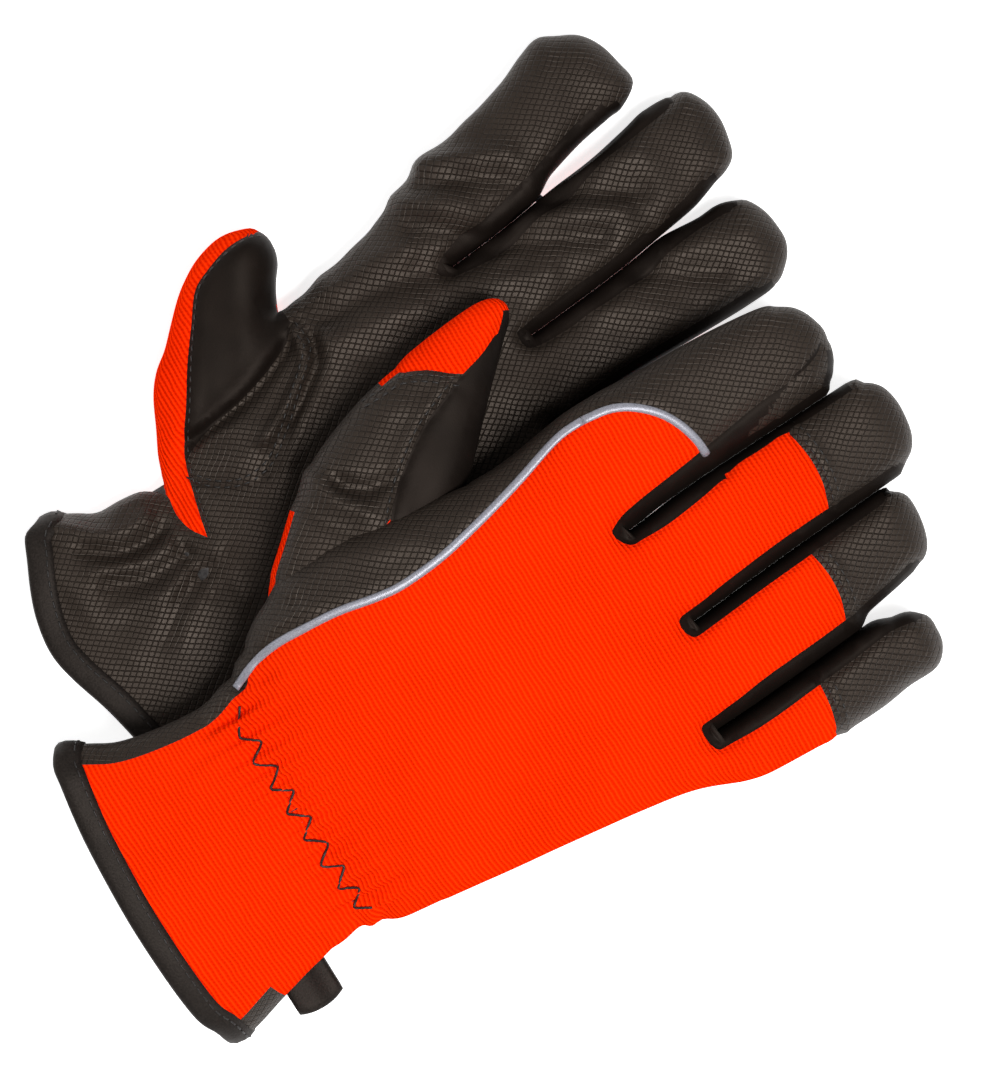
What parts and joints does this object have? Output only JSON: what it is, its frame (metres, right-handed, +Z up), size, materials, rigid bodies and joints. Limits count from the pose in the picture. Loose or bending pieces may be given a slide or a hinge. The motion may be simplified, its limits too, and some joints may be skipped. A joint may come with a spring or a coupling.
{
  "type": "pair of work gloves",
  "caption": "Pair of knit-backed work gloves with grained palms, one palm up on the table and one back up leaning across it; fingers and thumbs fold.",
  "frame": {"origin": "on the table, under the flat back of the left glove's hand, at the middle of the pair's footprint", "axes": "+X along the right glove towards its fingertips, +Y towards the thumbs, +Z up"},
  "size_m": [0.2596, 0.207, 0.0541],
  "materials": {
    "hivis_knit": "fluorescent orange ribbed knit, matt",
    "grained_synthetic": "black synthetic leather embossed with small diamonds, satin",
    "smooth_synthetic": "black microfibre, soft matt",
    "binding_tape": "black woven tape, matt",
    "reflective_piping": "grey reflective tape, satin",
    "thread": "dark polyester thread",
    "elastic": "black woven elastic"
  },
  "bodies": {
    "left_hand": {"left_back_panel": "hivis_knit", "left_index_side_panel": "grained_synthetic", "left_palm_panel": "grained_synthetic", "left_reflective_piping": "reflective_piping", "left_cuff_binding": "binding_tape", "left_wrist_elastic": "elastic", "left_zigzag_thread": "thread", "left_cuff_loop": "binding_tape", "left_saddle_patch": "grained_synthetic", "left_little_back": "hivis_knit", "left_little_tip_cap": "grained_synthetic", "left_little_palm": "grained_synthetic", "left_little_fourchette": "smooth_synthetic"},
    "left_thumb": {"left_thumb_back": "hivis_knit", "left_thumb_palm": "smooth_synthetic", "left_thumb_patch": "grained_synthetic"},
    "left_index": {"left_index_knuckle": "hivis_knit", "left_index_back": "grained_synthetic", "left_index_palm": "grained_synthetic", "left_index_fourchette": "smooth_synthetic", "left_knuckle_piping": "reflective_piping"},
    "left_middle": {"left_middle_back": "hivis_knit", "left_middle_tip_cap": "grained_synthetic", "left_middle_palm": "grained_synthetic", "left_middle_fourchettes": "smooth_synthetic"},
    "left_ring": {"left_ring_back": "hivis_knit", "left_ring_tip_cap": "grained_synthetic", "left_ring_palm": "grained_synthetic", "left_ring_fourchettes": "smooth_synthetic"},
    "right_hand": {"right_back_panel": "hivis_knit", "right_index_side_panel": "grained_synthetic", "right_palm_panel": "grained_synthetic", "right_reflective_piping": "reflective_piping", "right_cuff_binding": "binding_tape", "right_wrist_elastic": "elastic", "right_zigzag_thread": "thread", "right_saddle_patch": "grained_synthetic"},
    "right_thumb": {"right_thumb_back": "hivis_knit", "right_thumb_palm": "smooth_synthetic", "right_thumb_patch": "grained_synthetic"},
    "right_loop": {"right_cuff_loop": "binding_tape"},
    "right_index": {"right_index_knuckle": "hivis_knit", "right_index_back": "grained_synthetic", "right_index_palm": "grained_synthetic", "right_index_fourchette": "smooth_synthetic", "right_knuckle_piping": "reflective_piping"},
    "right_middle": {"right_middle_back": "hivis_knit", "right_middle_tip_cap": "grained_synthetic", "right_middle_palm": "grained_synthetic", "right_middle_fourchettes": "smooth_synthetic"},
    "right_ring": {"right_ring_back": "hivis_knit", "right_ring_tip_cap": "grained_synthetic", "right_ring_palm": "grained_synthetic", "right_ring_fourchettes": "smooth_synthetic"},
    "right_little": {"right_little_back": "hivis_knit", "right_little_tip_cap": "grained_synthetic", "right_little_palm": "grained_synthetic", "right_little_fourchette": "smooth_synthetic"}
  },
  "joints": [
    {"name": "right_glove_lift", "type": "slide", "parent": "left_hand", "child": "right_hand", "axis": [0, 0, 1], "range_m": [0, 0.12]},
    {"name": "left_index_curl", "type": "hinge", "parent": "left_hand", "child": "left_index", "pos_m": [0.0491, 0.0773, 0.02225], "axis": [0, -1, 0], "range_deg": [0, 70]},
    {"name": "left_middle_curl", "type": "hinge", "parent": "left_hand", "child": "left_middle", "pos_m": [0.0531, 0.0493, 0.02225], "axis": [0, -1, 0], "range_deg": [0, 70]},
    {"name": "left_ring_curl", "type": "hinge", "parent": "left_hand", "child": "left_ring", "pos_m": [0.0531, 0.0229, 0.022], "axis": [0, -1, 0], "range_deg": [0, 70]},
    {"name": "left_thumb_fold", "type": "hinge", "parent": "left_hand", "child": "left_thumb", "pos_m": [-0.02984, 0.06775, 0.0234], "axis": [0.9156, 0.4021, 0], "range_deg": [0, 50]},
    {"name": "right_index_lift", "type": "hinge", "parent": "right_hand", "child": "right_index", "pos_m": [0.0466, -0.0053, 0.0524], "axis": [0, -0.9724, -0.2334], "range_deg": [0, 35]},
    {"name": "right_middle_lift", "type": "hinge", "parent": "right_hand", "child": "right_middle", "pos_m": [0.0466, -0.0383, 0.04448], "axis": [0, -0.9724, -0.2334], "range_deg": [0, 35]},
    {"name": "right_ring_lift", "type": "hinge", "parent": "right_hand", "child": "right_ring", "pos_m": [0.0466, -0.0695, 0.0365], "axis": [0, -0.9724, -0.2334], "range_deg": [0, 35]},
    {"name": "right_little_lift", "type": "hinge", "parent": "right_hand", "child": "right_little", "pos_m": [0.0381, -0.0949, 0.0289], "axis": [0, -0.9724, -0.2334], "range_deg": [0, 35]},
    {"name": "right_thumb_fold", "type": "hinge", "parent": "right_hand", "child": "right_thumb", "pos_m": [-0.0275, 0.0148, 0.051], "axis": [0.9994, 0.0333, 0], "range_deg": [0, 30]},
    {"name": "right_loop_flap", "type": "hinge", "parent": "right_hand", "child": "right_loop", "pos_m": [-0.0955, -0.08618, 0.01751], "axis": [-1, 0, 0], "range_deg": [0, 75]}
  ]
}
